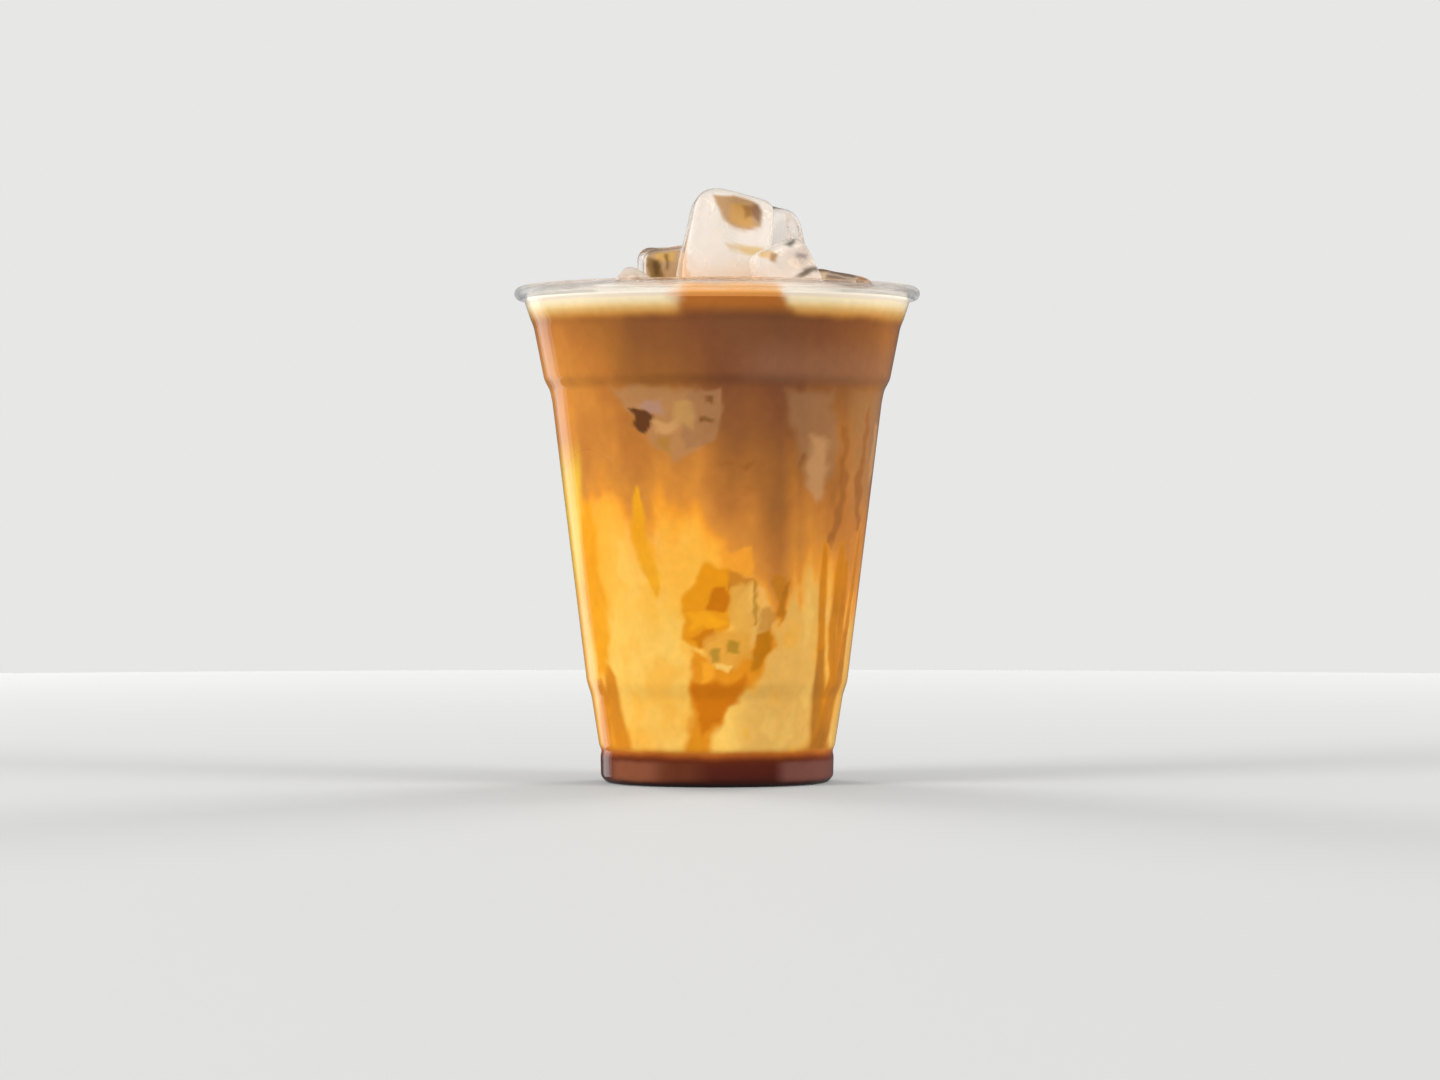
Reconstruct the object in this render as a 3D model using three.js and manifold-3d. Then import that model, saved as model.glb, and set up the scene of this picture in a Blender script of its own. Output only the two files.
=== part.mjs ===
// Iced salted caramel coffee in a clear plastic cup.
//
// The cup is one thin shell: a rolled rim, a short conical collar, a stacking step, a long body cone,
// a second small step and a base band over a hollow foot ring. Inside lie three layers of drink, each
// on the one below: dark caramel, golden milk and coffee, with slanting, wavy borders between them.
// Ice cubes float in the coffee and heap up over the rim.
//
// Millimetres, +Z up, the front of the drink towards -Y, the origin on the axis at the foot.

import * as THREE from 'three';
import { mergeVertices } from 'three/addons/utils/BufferGeometryUtils.js';
import Module from 'manifold-3d';

const wasm = await Module();
wasm.setup();

// Cup sizes: outer radius and height of each place where the wall changes its slope
const CUP_HEIGHT = 119.5;
const RIM_RADIUS = 49;
const WALL = 0.7;

const UNDERSIDE_MIDDLE = { radius: 0, height: 3.4 };
const UNDERSIDE_EDGE = { radius: 22.6, height: 2.4 };
const FOOT_INNER_WALL = { radius: 24.1, height: 0.5 };
const FOOT_INNER = { radius: 24.7, height: 0 };
const FOOT_OUTER = { radius: 26.7, height: 0 };
const BAND_LOW = { radius: 28.1, height: 1.5 };
const BAND_HIGH = { radius: 28.2, height: 6.5 };
const GROOVE = { radius: 27.9, height: 7.6 };
const LOWER_CONE_FOOT = { radius: 28.5, height: 9 };
const LOWER_CONE_HEAD = { radius: 30.4, height: 21 };
const BODY_FOOT = { radius: 31.5, height: 24.4 };
const BODY_HEAD = { radius: 39.8, height: 91.6 };
const STEP = { radius: 40.4, height: 94.6 };
const COLLAR_FOOT = { radius: 41.8, height: 97.2 };
const COLLAR_HEAD = { radius: 44.3, height: 109.8 };
const FLARE = { radius: 45.2, height: 112 };
const RIM_FOOT = { radius: 46.5, height: 115.9 };

// The rim is the wall rolled outwards into a bead that stays open underneath
const CURL_RADIUS = 1.55;
const CURL_START = 180;
const CURL_END = -90;
const CURL_STEPS = 6;

const CUP_SIDES = 56;
const FOOT_BEND_STEPS = 2;

// Drink sizes
const CLEARANCE = 0.3;
const DRINK_LEVEL = 114.6;
const MENISCUS_RISE = 0.4;
const MENISCUS_WIDTH = 1.6;
const DRINK_SIDES = 56;

// Border of milk and coffee: it falls from upper left to lower right, with slow waves
const MILK_MIDDLE_HEIGHT = 57;
const MILK_SLANT = 0.62;
const MILK_WAVE = 4.5;
const MILK_SWELL = 2.5;

// Border of caramel and milk: nearly level, with a hump where each run of caramel climbs the wall
const CARAMEL_HEIGHT = 6.8;
const CARAMEL_HUMP = 3;
const CARAMEL_HUMP_WIDTH = 0.28;
const CARAMEL_RUNS = [95, 204, 262, 330];

const BORDER_RINGS = 4;
const BORDER_RADIUS = 48;

// Ice: each cube has its centre, its size, its turn in degrees, a seed for its unevenness, and a bowl
// melted into it, given by its middle on a cube that reaches from -1 to 1, and by its depth
const ICE_SQUARENESS = 5;
const ICE_TAPER = 0.05;
const ICE_WAVE = 0.02;
const BOWL_RADIUS = 0.85;
const ICE_PIECES = [
  {
    name: 'ice_peak', centre: [2.2, -2, 129], size: [20.5, 22, 26], turn: [-5, 10, 6],
    seed: 1, bowl: [0.4, -1, 0.45], depth: 2.4, steps: 6,
  },
  {
    name: 'ice_left', centre: [-10.8, 15.4, 121.6], size: [15.5, 15, 18], turn: [6, -6, 12],
    seed: 2, bowl: [0, 0, 1], depth: 1.4, steps: 5,
  },
  {
    name: 'ice_chip', centre: [-19.5, -9, 113.6], size: [15, 15, 15], turn: [32, 28, 12],
    seed: 3, bowl: [-1, 0, 0], depth: 1, steps: 4,
  },
  {
    name: 'ice_front_right', centre: [16.6, -20, 120.9], size: [14, 13, 16.5], turn: [4, -26, 10],
    seed: 4, bowl: [0, -1, 0.2], depth: 1, steps: 5,
  },
  {
    name: 'ice_right', centre: [27.4, -2.8, 112.8], size: [18, 19, 20], turn: [-4, 11, 4],
    seed: 5, bowl: [0, 0, 1], depth: 1.4, steps: 4,
  },
  {
    name: 'ice_back_high', centre: [9.6, 23.4, 128], size: [21, 21, 25], turn: [8, -8, 20],
    seed: 6, bowl: [0.2, 1, 0.2], depth: 2, steps: 5,
  },
  {
    name: 'ice_back_left', centre: [-28.6, 11, 110], size: [17, 18, 18], turn: [5, -6, -20],
    seed: 7, bowl: [0, 0, 1], depth: 1.4, steps: 4,
  },
  {
    name: 'ice_back', centre: [-13, 31, 109.8], size: [17, 12, 17], turn: [-5, 4, 20],
    seed: 8, bowl: [0, 0, 1], depth: 1.2, steps: 4,
  },
  {
    name: 'ice_back_right', centre: [28.4, 16.4, 110], size: [15, 15, 18], turn: [4, 6, 29],
    seed: 9, bowl: [0, 0, 1], depth: 1.2, steps: 4,
  },
];

// Colour, roughness and metalness of each kind of material
const CLEAR_PLASTIC = new THREE.MeshStandardMaterial({
  color: 0xf2f4f3, roughness: 0.06, metalness: 0, transparent: true, opacity: 0.35,
});
const CARAMEL = new THREE.MeshStandardMaterial({ color: 0x551f10, roughness: 0.25, metalness: 0 });
const MILK = new THREE.MeshStandardMaterial({ color: 0xfcbe52, roughness: 0.35, metalness: 0 });
const COFFEE = new THREE.MeshStandardMaterial({ color: 0x85502c, roughness: 0.3, metalness: 0 });
const ICE = new THREE.MeshStandardMaterial({ color: 0xf1e8e2, roughness: 0.15, metalness: 0 });

const radians = THREE.MathUtils.degToRad;

// A place of the wall as a point of the lathe profile: x is the radius, y the height
function at(place) {
  return new THREE.Vector2(place.radius, place.height);
}

// Points of an arc about a centre, from one angle to another, both ends included
function arc(centre, radius, fromDegrees, toDegrees, steps) {
  const points = [];
  for (let step = 0; step <= steps; step += 1) {
    const angle = radians(fromDegrees + (toDegrees - fromDegrees) * step / steps);
    const x = centre.x + radius * Math.cos(angle);
    const y = centre.y + radius * Math.sin(angle);
    points.push(new THREE.Vector2(x, y));
  }
  return points;
}

// The outside of the cup from the middle of the underside up to the foot of the rim
function outsideProfile() {
  const bend = BAND_LOW.radius - FOOT_OUTER.radius;
  const bendCentre = new THREE.Vector2(FOOT_OUTER.radius, bend);
  return [
    at(UNDERSIDE_MIDDLE),
    at(UNDERSIDE_EDGE),
    at(FOOT_INNER_WALL),
    at(FOOT_INNER),
    ...arc(bendCentre, bend, -90, 0, FOOT_BEND_STEPS),
    at(BAND_HIGH),
    at(GROOVE),
    at(LOWER_CONE_FOOT),
    at(LOWER_CONE_HEAD),
    at(BODY_FOOT),
    at(BODY_HEAD),
    at(STEP),
    at(COLLAR_FOOT),
    at(COLLAR_HEAD),
    at(FLARE),
    at(RIM_FOOT),
  ];
}

// The same profile moved inwards by a distance, square to the wall, with mitred corners
function movedInwards(profile, distance) {
  return profile.map((point, index) => {
    const before = profile[Math.max(index - 1, 0)];
    const after = profile[Math.min(index + 1, profile.length - 1)];
    const fromBefore = point.clone().sub(before);
    const toAfter = after.clone().sub(point);
    const first = index === 0 ? toAfter : fromBefore;
    const last = index === profile.length - 1 ? fromBefore : toAfter;
    const firstNormal = new THREE.Vector2(-first.y, first.x).normalize();
    const lastNormal = new THREE.Vector2(-last.y, last.x).normalize();
    const mitre = firstNormal.clone().add(lastNormal);
    mitre.divideScalar(1 + firstNormal.dot(lastNormal));
    const moved = point.clone().add(mitre.multiplyScalar(distance));
    moved.x = point.x === 0 ? 0 : moved.x;
    return moved;
  });
}

// A profile turned about the Z axis
function turned(profile, sides) {
  const geometry = new THREE.LatheGeometry(profile, sides);
  geometry.rotateX(Math.PI / 2);
  return welded(geometry);
}

// A geometry with only its positions left and the vertices at one place made one
function welded(geometry) {
  geometry.deleteAttribute('normal');
  geometry.deleteAttribute('uv');
  return mergeVertices(geometry, 1e-4);
}

function toSolid(geometry) {
  const vertProperties = new Float32Array(geometry.attributes.position.array);
  const triVerts = new Uint32Array(geometry.index.array);
  return new wasm.Manifold(new wasm.Mesh({ numProp: 3, vertProperties, triVerts }));
}

function toGeometry(solid) {
  const mesh = solid.getMesh();
  const geometry = new THREE.BufferGeometry();
  geometry.setAttribute('position', new THREE.BufferAttribute(mesh.vertProperties, 3));
  geometry.setIndex(new THREE.BufferAttribute(mesh.triVerts, 1));
  return geometry;
}

// Cup: the outside, round the inside of the curl, back round its skin and down the inside
function cupGeometry() {
  const outside = outsideProfile();
  const inside = movedInwards(outside, WALL);
  const curlCentre = new THREE.Vector2(RIM_RADIUS - CURL_RADIUS, CUP_HEIGHT - CURL_RADIUS);
  const curlInside = arc(curlCentre, CURL_RADIUS - WALL, CURL_START, CURL_END, CURL_STEPS);
  const curlSkin = arc(curlCentre, CURL_RADIUS, CURL_END, CURL_START, CURL_STEPS);
  return turned([...outside, ...curlInside, ...curlSkin, ...inside.reverse()], CUP_SIDES);
}

// Everything that fills the cup, as one solid up to the drink's level, a little higher at the wall
function contentsSolid() {
  const inside = movedInwards(outsideProfile(), WALL + CLEARANCE);
  const wall = inside.filter((point) => point.y < DRINK_LEVEL);
  const last = wall[wall.length - 1];
  const next = inside[wall.length];
  const topHeight = DRINK_LEVEL + MENISCUS_RISE;
  const share = (topHeight - last.y) / (next.y - last.y);
  const edge = last.clone().lerp(next, share);
  const surface = [
    edge,
    new THREE.Vector2(edge.x - MENISCUS_WIDTH, DRINK_LEVEL),
    new THREE.Vector2(0, DRINK_LEVEL),
  ];
  return toSolid(turned([...wall, ...surface], DRINK_SIDES));
}

// Height of the border between milk and coffee over a point of the plan
function milkTop(x, y) {
  const slant = MILK_MIDDLE_HEIGHT - MILK_SLANT * x;
  const angle = Math.atan2(y, x);
  const reach = Math.hypot(x, y) / BODY_HEAD.radius;
  const wave = MILK_WAVE * reach * Math.sin(5 * angle + 0.8);
  const swell = MILK_SWELL * Math.cos(x / 9 + y / 14);
  return slant + wave + swell;
}

// Height of the border between caramel and milk over a point of the plan
function caramelTop(x, y) {
  const angle = Math.atan2(y, x);
  const reach = Math.min(Math.hypot(x, y) / LOWER_CONE_FOOT.radius, 1);
  let height = CARAMEL_HEIGHT;
  for (const run of CARAMEL_RUNS) {
    const away = Math.atan2(Math.sin(angle - radians(run)), Math.cos(angle - radians(run)));
    const closeness = Math.exp(-((away / CARAMEL_HUMP_WIDTH) ** 2));
    height += CARAMEL_HUMP * closeness * reach ** 3;
  }
  return height;
}

// Everything below a border: a round block whose top follows the height function
function below(heightAt, lift) {
  const positions = [0, 0, heightAt(0, 0) + lift];
  const floor = -10;
  const triangles = [];
  const index = (ring, side) => 1 + (ring - 1) * DRINK_SIDES + (side % DRINK_SIDES);
  for (let ring = 1; ring <= BORDER_RINGS; ring += 1) {
    const radius = BORDER_RADIUS * ring / BORDER_RINGS;
    for (let side = 0; side < DRINK_SIDES; side += 1) {
      const angle = 2 * Math.PI * side / DRINK_SIDES;
      const x = radius * Math.cos(angle);
      const y = radius * Math.sin(angle);
      positions.push(x, y, heightAt(x, y) + lift);
    }
  }
  for (let side = 0; side < DRINK_SIDES; side += 1) {
    const angle = 2 * Math.PI * side / DRINK_SIDES;
    positions.push(BORDER_RADIUS * Math.cos(angle), BORDER_RADIUS * Math.sin(angle), floor);
  }
  const floorCentre = positions.length / 3;
  positions.push(0, 0, floor);
  for (let side = 0; side < DRINK_SIDES; side += 1) {
    triangles.push(0, index(1, side), index(1, side + 1));
    for (let ring = 1; ring <= BORDER_RINGS; ring += 1) {
      triangles.push(index(ring, side), index(ring + 1, side), index(ring + 1, side + 1));
      triangles.push(index(ring, side), index(ring + 1, side + 1), index(ring, side + 1));
    }
    triangles.push(floorCentre, index(BORDER_RINGS + 1, side + 1), index(BORDER_RINGS + 1, side));
  }
  const geometry = new THREE.BufferGeometry();
  geometry.setAttribute('position', new THREE.Float32BufferAttribute(positions, 3));
  geometry.setIndex(triangles);
  return toSolid(geometry);
}

// An ice cube: a box rounded by a high power, tapered, gently uneven, with a bowl melted into it.
// The clearance makes it that much larger on every side, for the hollow that it leaves in the drink.
function iceGeometry(piece, clearance) {
  const steps = piece.steps;
  const geometry = welded(new THREE.BoxGeometry(2, 2, 2, steps, steps, steps));
  const position = geometry.attributes.position;
  const vertex = new THREE.Vector3();
  const half = new THREE.Vector3(...piece.size).multiplyScalar(0.5).addScalar(clearance);
  const bowl = new THREE.Vector3(...piece.bowl);
  for (let index = 0; index < position.count; index += 1) {
    vertex.fromBufferAttribute(position, index);
    vertex.set(...vertex.toArray().map((value) => Math.sin(value * Math.PI / 2)));
    const inBowl = Math.max(1 - (vertex.distanceTo(bowl) / BOWL_RADIUS) ** 2, 0) ** 2;
    const powers = vertex.toArray().map((value) => Math.abs(value) ** ICE_SQUARENESS);
    vertex.divideScalar((powers[0] + powers[1] + powers[2]) ** (1 / ICE_SQUARENESS));
    const { x, y, z } = vertex;
    const taper = 1 + ICE_TAPER * z * Math.cos(2.4 * piece.seed);
    const wave = Math.sin(3 * x + 2 * y + piece.seed) * Math.cos(3 * z - piece.seed);
    vertex.multiply(half).multiplyScalar(1 + ICE_WAVE * wave);
    vertex.x *= taper;
    vertex.y *= taper;
    vertex.addScaledVector(bowl, -inBowl * piece.depth);
    position.setXYZ(index, vertex.x, vertex.y, vertex.z);
  }
  return geometry;
}

// The transform that puts a cube in its place in the heap
function icePlace(piece) {
  const euler = new THREE.Euler(...piece.turn.map(radians));
  const turn = new THREE.Quaternion().setFromEuler(euler);
  const centre = new THREE.Vector3(...piece.centre);
  return new THREE.Matrix4().compose(centre, turn, new THREE.Vector3(1, 1, 1));
}

function named(name, geometry, material) {
  const mesh = new THREE.Mesh(geometry, material);
  mesh.name = name;
  return mesh;
}

// The three layers, each clear of the next by the clearance, and the coffee cut round the ice
function drinkMeshes() {
  const contents = contentsSolid();
  const half = CLEARANCE / 2;
  const caramel = contents.intersect(below(caramelTop, -half));
  const milk = contents.intersect(below(milkTop, -half)).subtract(below(caramelTop, half));
  let coffee = contents.subtract(below(milkTop, half));
  for (const piece of ICE_PIECES) {
    const hollow = iceGeometry(piece, CLEARANCE).applyMatrix4(icePlace(piece));
    coffee = coffee.subtract(toSolid(hollow));
  }
  return [
    named('caramel_layer', toGeometry(caramel), CARAMEL),
    named('milk_layer', toGeometry(milk), MILK),
    named('coffee_layer', toGeometry(coffee), COFFEE),
  ];
}

function iceMeshes() {
  return ICE_PIECES.map((piece) => {
    const mesh = named(piece.name, iceGeometry(piece, 0), ICE);
    mesh.position.set(...piece.centre);
    mesh.rotation.set(...piece.turn.map(radians));
    return mesh;
  });
}

const icedCoffee = new THREE.Group();
icedCoffee.add(named('cup', cupGeometry(), CLEAR_PLASTIC));
icedCoffee.add(...drinkMeshes());
icedCoffee.add(...iceMeshes());

export default icedCoffee;
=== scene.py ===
# %% [markdown]
# # Iced salted caramel coffee in a clear cup
# The real thing is a thin clear plastic cup with syrup at the bottom, milk poured over it, coffee poured
# over that, and ice heaped over the rim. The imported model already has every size: the cup's wall, the
# drink's levels and the place of each ice cube. This script adds what a camera sees: the gloss of the
# plastic, the way coffee sinks into milk, runs of caramel on the wall, and half clear, half cloudy ice.
# Everything is in metres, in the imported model's own frame, so each piece goes where the model says.

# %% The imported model
import math

import bmesh
import bpy
import numpy as np
from mathutils import Euler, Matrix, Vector, noise
from mathutils.bvhtree import BVHTree


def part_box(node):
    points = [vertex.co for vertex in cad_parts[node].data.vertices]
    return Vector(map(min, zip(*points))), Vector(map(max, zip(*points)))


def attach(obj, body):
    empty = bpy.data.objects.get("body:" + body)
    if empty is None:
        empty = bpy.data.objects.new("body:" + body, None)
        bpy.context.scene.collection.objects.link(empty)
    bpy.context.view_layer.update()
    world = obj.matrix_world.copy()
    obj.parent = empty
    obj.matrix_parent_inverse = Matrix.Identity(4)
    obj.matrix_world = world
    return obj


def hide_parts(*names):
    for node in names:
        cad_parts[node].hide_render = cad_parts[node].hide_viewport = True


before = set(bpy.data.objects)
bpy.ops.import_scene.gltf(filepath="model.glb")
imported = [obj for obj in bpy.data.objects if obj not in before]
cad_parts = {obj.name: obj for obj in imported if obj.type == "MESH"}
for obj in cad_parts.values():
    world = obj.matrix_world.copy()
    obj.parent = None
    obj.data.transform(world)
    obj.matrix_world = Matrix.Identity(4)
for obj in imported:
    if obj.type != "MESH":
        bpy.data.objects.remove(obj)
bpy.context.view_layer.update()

MM = 0.001
print("nodes:", sorted(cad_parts))

# %% [markdown]
# ## Small helpers
# A colour picked on a screen is an sRGB hex value, but a shader works with linear light, so one function
# turns the one into the other. Another adds a node with its settings and links in a single call, which
# keeps each material and each geometry tree readable from top to bottom.

# %% Colours and nodes


def linear(code, alpha=1.0):
    """A colour such as "F2C078" as linear red, green, blue and alpha."""
    channels = [int(code[place:place + 2], 16) / 255 for place in (0, 2, 4)]
    light = [c / 12.92 if c <= 0.04045 else ((c + 0.055) / 1.055) ** 2.4 for c in channels]
    return (*light, alpha)


def add(tree, kind, inputs=(), **settings):
    """Adds a node. inputs maps a socket's name or number to a value or to the socket that feeds it."""
    node = tree.nodes.new(kind)
    for name, value in settings.items():
        setattr(node, name, value)
    for name, value in dict(inputs).items():
        if isinstance(value, bpy.types.NodeSocket):
            tree.links.new(value, node.inputs[name])
        else:
            node.inputs[name].default_value = value
    return node


def new_material(name):
    """An empty material with its output node."""
    material = bpy.data.materials.new(name)
    material.use_nodes = True
    material.node_tree.nodes.clear()
    output = add(material.node_tree, "ShaderNodeOutputMaterial")
    return material, material.node_tree, output


def over(tree, share, below, above):
    """One colour laid over another by a share from 0 to 1."""
    return add(tree, "ShaderNodeMix", {0: share, 6: below, 7: above}, data_type="RGBA").outputs[2]


print("white is", [round(value, 3) for value in linear("FFFFFF")])

# %% [markdown]
# ## Camera
# The photo looks at the cup from straight ahead, at about half its height: the circles at the foot curve
# down and those near the rim curve up by the same amount. How much they curve gives the distance.

# %% The camera at the photo's place
PHOTO_WIDTH = 1440
FOCAL_PIXELS = 4546
SENSOR_MM = 36
CAMERA_DISTANCE = 1100 * MM
CAMERA_HEIGHT = 58.5 * MM
CAMERA_SIDE = 0.7 * MM

camera = bpy.data.objects.new("camera", bpy.data.cameras.new("camera"))
camera.data.sensor_width = SENSOR_MM
camera.data.lens = FOCAL_PIXELS / PHOTO_WIDTH * SENSOR_MM
camera.data.clip_start = 10 * MM
camera.location = (CAMERA_SIDE, -CAMERA_DISTANCE, CAMERA_HEIGHT)
camera.rotation_euler = (math.radians(90), 0, 0)
bpy.context.scene.collection.objects.link(camera)
bpy.context.scene.camera = camera
print("lens, mm:", round(camera.data.lens, 1))

# %% [markdown]
# ## Light and floor
# Clear plastic shows mostly what it reflects, so the room matters. A pale world gives the even background
# and fills the shadows. Mirror-like reflections see a dim room instead, as they do in a studio with black
# cards round the camera: a pale room would lay a grey veil over the rich colours behind the wall. Four
# broad lamps, two in front and two behind, light the drink from every side and aren't mirrored in it. Two
# faint, tall strips behind on the left are mirrored: they draw the pale upright streak near the left edge
# of the cup. The lamps themselves stay out of sight.

# %% World, lamps and floor
WORLD_COLOUR = "E7E7E6"
MIRRORED_COLOUR = "5A5A5A"
FLOOR_COLOUR = "AEAEAD"
FLOOR_RADIUS = 0.95
FLOOR_SIDES = 128
BOX_SIZE = 0.96
AIM = Vector((0, 0, 70 * MM))

world = bpy.data.worlds.new("pale room")
world.use_nodes = True
tree = world.node_tree
tree.nodes.clear()
ray = add(tree, "ShaderNodeLightPath").outputs
mirrored = add(
    tree, "ShaderNodeMath", {0: ray["Is Glossy Ray"], 1: ray["Is Reflection Ray"]}, operation="MULTIPLY",
)
room = over(tree, mirrored.outputs["Value"], linear(WORLD_COLOUR), linear(MIRRORED_COLOUR))
background = add(tree, "ShaderNodeBackground", {"Color": room})
add(tree, "ShaderNodeOutputWorld", {"Surface": background.outputs["Background"]})
bpy.context.scene.world = world


def softbox(name, place, width, height, watts, mirrored):
    """A rectangular lamp that faces the drink. It is seen in reflections only where mirrored is set."""
    lamp = bpy.data.objects.new(name, bpy.data.lights.new(name, "AREA"))
    lamp.data.shape = "RECTANGLE"
    lamp.data.size = width
    lamp.data.size_y = height
    lamp.data.energy = watts
    lamp.location = place
    lamp.rotation_euler = (Vector(place) - AIM).to_track_quat("Z", "Y").to_euler()
    lamp.visible_camera = False
    lamp.visible_transmission = False
    lamp.visible_glossy = mirrored
    bpy.context.scene.collection.objects.link(lamp)
    return lamp


softbox("left softbox", (-1.76, -1.12, 0.62), BOX_SIZE, BOX_SIZE, 64, False)
softbox("right softbox", (1.84, -0.96, 0.52), BOX_SIZE, BOX_SIZE, 56, False)
softbox("back softbox left", (-1.2, 1.7, 0.7), BOX_SIZE, BOX_SIZE, 44, False)
softbox("back softbox right", (1.3, 1.6, 0.7), BOX_SIZE, BOX_SIZE, 44, False)
softbox("left strip behind", (-0.74, 0.94, 0.2), 0.34, 1.0, 0.55, True)
softbox("left glow behind", (-0.76, 0.96, 0.2), 0.6, 1.0, 0.75, True)

floor_mesh = bpy.data.meshes.new("floor")
shape = bmesh.new()
bmesh.ops.create_circle(shape, cap_ends=True, segments=FLOOR_SIDES, radius=FLOOR_RADIUS)
shape.to_mesh(floor_mesh)
shape.free()
floor = bpy.data.objects.new("floor", floor_mesh)
bpy.context.scene.collection.objects.link(floor)
floor_material, tree, output = new_material("matt painted floor")
shader = add(tree, "ShaderNodeBsdfPrincipled", {"Base Color": linear(FLOOR_COLOUR), "Roughness": 0.7})
tree.links.new(shader.outputs["BSDF"], output.inputs["Surface"])
floor.data.materials.append(floor_material)
floor.visible_glossy = False

view = bpy.context.scene.view_settings
view.view_transform = "Standard"
view.look = "None"
cycles = bpy.context.scene.cycles
cycles.caustics_refractive = False
cycles.caustics_reflective = False
cycles.max_bounces = 16
cycles.transmission_bounces = 14
cycles.transparent_max_bounces = 24

# %% [markdown]
# ## The cup's profile
# A thermoformed cup is a body of revolution, so it is fully told by the line that its wall draws in a
# plane through the axis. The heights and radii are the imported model's. Real sheet never has a knife
# edge, so each corner is rounded a little before the line is turned.

# %% Places where the wall changes its slope, as (radius, height) in mm
CUP_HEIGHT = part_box("cup")[1].z / MM
RIM_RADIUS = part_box("cup")[1].x / MM
WALL = 0.7
OUTSIDE = [
    (0, 3.4), (22.6, 2.4), (24.1, 0.5), (24.7, 0), (26.7, 0), (28.1, 1.5), (28.2, 6.5), (27.9, 7.6),
    (28.5, 9), (30.4, 21), (31.5, 24.4), (39.8, 91.6), (40.4, 94.6), (41.8, 97.2), (44.3, 109.8),
    (45.2, 112), (46.5, 115.9),
]
CURL_RADIUS = 1.55
CURL_START = 180
CURL_END = -90
CURL_INSIDE_STEPS = 18
CURL_SKIN_STEPS = 24
CORNER_CUT = 0.8
CORNER_STEPS = 5


def rounded(profile, cut, steps):
    """The profile with each inner corner replaced by a small curve that starts cut before the corner."""
    points = [np.array(profile[0], float)]
    for before, corner, after in zip(profile, profile[1:], profile[2:]):
        before, corner, after = (np.array(p, float) for p in (before, corner, after))
        back, ahead = before - corner, after - corner
        reach = min(cut, 0.45 * np.linalg.norm(back), 0.45 * np.linalg.norm(ahead))
        start = corner + back / np.linalg.norm(back) * reach
        end = corner + ahead / np.linalg.norm(ahead) * reach
        for t in np.linspace(0, 1, steps):
            points.append((1 - t) ** 2 * start + 2 * t * (1 - t) * corner + t ** 2 * end)
    points.append(np.array(profile[-1], float))
    return np.array(points)


def moved_inwards(points, distance):
    """The profile moved square to itself, towards the drink, with mitred corners."""
    steps = np.diff(points, axis=0)
    normals = np.stack([-steps[:, 1], steps[:, 0]], axis=1)
    normals /= np.linalg.norm(normals, axis=1)[:, None]
    first = np.vstack([normals[:1], normals])
    last = np.vstack([normals, normals[-1:]])
    mitre = (first + last) / (1 + (first * last).sum(axis=1))[:, None]
    moved = points + mitre * distance
    moved[points[:, 0] == 0, 0] = 0
    return moved


def arc(centre, radius, start, end, steps):
    """Points on an arc, angles in degrees, both ends included."""
    angles = np.radians(np.linspace(start, end, steps + 1))
    return np.stack([centre[0] + radius * np.cos(angles), centre[1] + radius * np.sin(angles)], axis=1)


outside = rounded(OUTSIDE, CORNER_CUT, CORNER_STEPS)
inside = moved_inwards(outside, WALL)
curl_centre = (RIM_RADIUS - CURL_RADIUS, CUP_HEIGHT - CURL_RADIUS)
curl_inside = arc(curl_centre, CURL_RADIUS - WALL, CURL_START, CURL_END, CURL_INSIDE_STEPS)
curl_skin = arc(curl_centre, CURL_RADIUS, CURL_END, CURL_START, CURL_SKIN_STEPS)
cup_profile = np.vstack([outside, curl_inside, curl_skin, inside[::-1]])
print("points on the cup's profile:", len(cup_profile))

# %% [markdown]
# ## A lathe made of Geometry Nodes
# Spin in edit mode would do, but a small node tree shows the rule: lay out a grid with one row for each
# point of the profile and one column for each side, then move every grid point to its row's radius and
# height, turned to its column's angle. The number of sides stays a named input.

# %% The lathe tree


def new_tree(name, inputs):
    """An empty geometry tree whose inputs are given as {name: socket type}, after the geometry."""
    tree = bpy.data.node_groups.new(name, "GeometryNodeTree")
    tree.interface.new_socket("Geometry", in_out="INPUT", socket_type="NodeSocketGeometry")
    for label, socket_type in inputs.items():
        tree.interface.new_socket(label, in_out="INPUT", socket_type=socket_type)
    tree.interface.new_socket("Geometry", in_out="OUTPUT", socket_type="NodeSocketGeometry")
    return tree, add(tree, "NodeGroupInput").outputs


def end_tree(tree, geometry, material):
    """Realizes the instances, sets the material and connects the output."""
    real = add(tree, "GeometryNodeRealizeInstances", {"Geometry": geometry})
    painted = add(
        tree, "GeometryNodeSetMaterial", {"Geometry": real.outputs["Geometry"], "Material": material},
    )
    add(tree, "NodeGroupOutput", {"Geometry": painted.outputs["Geometry"]})


def maths(tree, operation, first, second=0.0):
    """One sum on numbers, as a socket."""
    return add(tree, "ShaderNodeMath", {0: first, 1: second}, operation=operation).outputs[0]


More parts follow.
